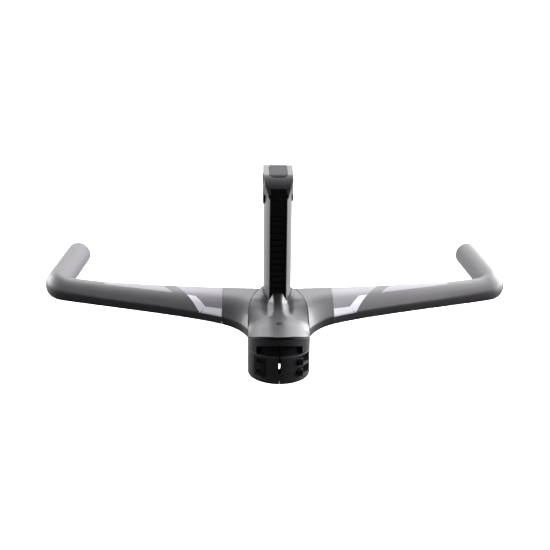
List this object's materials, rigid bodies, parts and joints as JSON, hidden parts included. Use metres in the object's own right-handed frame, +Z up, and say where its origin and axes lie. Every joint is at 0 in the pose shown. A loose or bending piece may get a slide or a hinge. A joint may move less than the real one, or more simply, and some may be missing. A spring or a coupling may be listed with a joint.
{
  "type": "aero base bar",
  "caption": "Time-trial bicycle base bar with split steerer clamp, winged arms ending in forward grips, and a height-adjustable riser with a tilting head.",
  "frame": {"origin": "on the steerer axis, at the underside of the steerer clamp", "axes": "+Z up the steerer axis, +Y forward in the riding direction, +X to the rider's right"},
  "size_m": [0.422, 0.214, 0.1565],
  "materials": {
    "satin_black_paint": "satin black powder paint",
    "deck_paint": "satin black paint",
    "arm_paint": "satin black with painted stripe graphics",
    "black_alloy": "black anodised",
    "rack_black": "matte black",
    "rubber_black": "matte",
    "liner_plastic": "matte",
    "black_steel": "black oxide",
    "bronze_bush": "sintered bronze"
  },
  "bodies": {
    "stem": {"steerer_clamp": "satin_black_paint", "clamp_nut_plate": "black_alloy", "clamp_bolts": "black_steel", "clamp_washers": "black_steel", "ring_screws": "black_steel", "center_body": "satin_black_paint", "cable_grommet": "rubber_black", "preload_plug": "rubber_black", "top_cover": "deck_paint", "cover_screws": "black_steel", "left_arm": "arm_paint", "right_arm": "arm_paint", "arm_bolts": "black_steel", "riser_liner": "liner_plastic", "riser_collar": "rubber_black"},
    "lock_screw": {"lock_screw": "black_steel", "lock_clip": "black_steel"},
    "lock_wedge": {"lock_wedge": "black_alloy"},
    "lock_jaw": {"lock_jaw": "black_alloy"},
    "riser": {"riser_post": "deck_paint", "riser_rack": "rack_black", "bolt_cover": "rack_black", "post_end_stop": "liner_plastic", "end_stop_screws": "black_steel", "tilt_bushes": "bronze_bush", "tilt_bolt": "black_steel", "tilt_nut": "black_alloy"},
    "head": {"tilt_head": "deck_paint", "head_insert": "rack_black", "head_cap": "deck_paint", "tilt_lock_screw": "black_steel"}
  },
  "joints": [
    {"name": "riser_height", "type": "slide", "parent": "stem", "child": "riser", "axis": [0, 0, 1], "range_m": [-0.066, 0]},
    {"name": "head_tilt", "type": "hinge", "parent": "riser", "child": "head", "pos_m": [0, 0.064, 0.137], "axis": [1, 0, 0], "range_deg": [-15, 0]},
    {"name": "lock_turn", "type": "hinge", "parent": "stem", "child": "lock_screw", "pos_m": [0, 0.031, 0.018], "axis": [0, 0, 1], "range_deg": [0, 1080]},
    {"name": "wedge_travel", "type": "slide", "parent": "stem", "child": "lock_wedge", "axis": [0, 0, -1], "range_m": [0, 0.0024]},
    {"name": "jaw_travel", "type": "slide", "parent": "stem", "child": "lock_jaw", "axis": [0, 1, 0], "range_m": [0, 0.0012]}
  ],
  "couplings": [
    {"joint": "lock_turn", "follows": "wedge_travel", "rad_per_m": 7854},
    {"joint": "jaw_travel", "follows": "wedge_travel", "ratio": 0.5}
  ]
}
